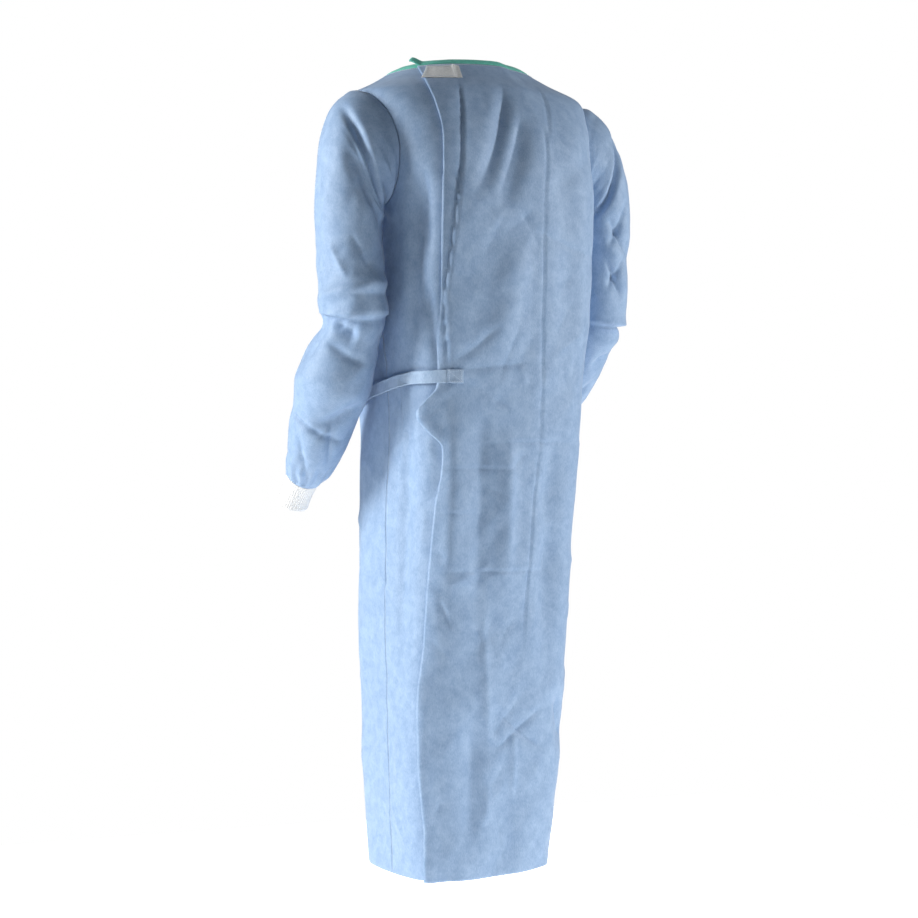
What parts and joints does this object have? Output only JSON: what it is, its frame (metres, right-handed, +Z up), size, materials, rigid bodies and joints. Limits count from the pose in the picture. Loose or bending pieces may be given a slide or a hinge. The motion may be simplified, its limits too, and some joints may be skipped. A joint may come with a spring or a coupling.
{
  "type": "surgical gown",
  "caption": "Worn long-sleeved blue nonwoven surgical gown, open-backed and lapped behind, with knit cuffs, green neck binding, neck tab and waist ties; hollow, with open neck, hem and cuffs.",
  "frame": {"origin": "between the shoulders, level with the back of the neck opening, where the wearer's shoulders and neck carry the gown", "axes": "+Z up the wearer, -Y the way the wearer faces, +X to the wearer's left"},
  "size_m": [0.5751, 0.4074, 1.3028],
  "materials": {
    "gown_cloth": "crisp blue spunbond nonwoven, matt with a faint sheen",
    "knit_cuff": "white fine rib knit",
    "neck_binding": "green bias tape",
    "closure_tab": "off-white hook-and-loop tape",
    "tie_cloth": "folded and pressed tie of the gown's cloth"
  },
  "bodies": {
    "root": {"front_panel": "gown_cloth", "back_panel_left": "gown_cloth", "back_panel_right": "gown_cloth", "sleeve_left": "gown_cloth", "sleeve_right": "gown_cloth", "cuff_left": "knit_cuff", "cuff_right": "knit_cuff", "neck_binding": "neck_binding", "closure_tab": "closure_tab", "tie_patch": "tie_cloth", "waist_tie": "tie_cloth", "front_tie": "tie_cloth", "tie_knot": "tie_cloth", "tie_tail_left": "tie_cloth", "tie_tail_right": "tie_cloth"}
  },
  "joints": []
}
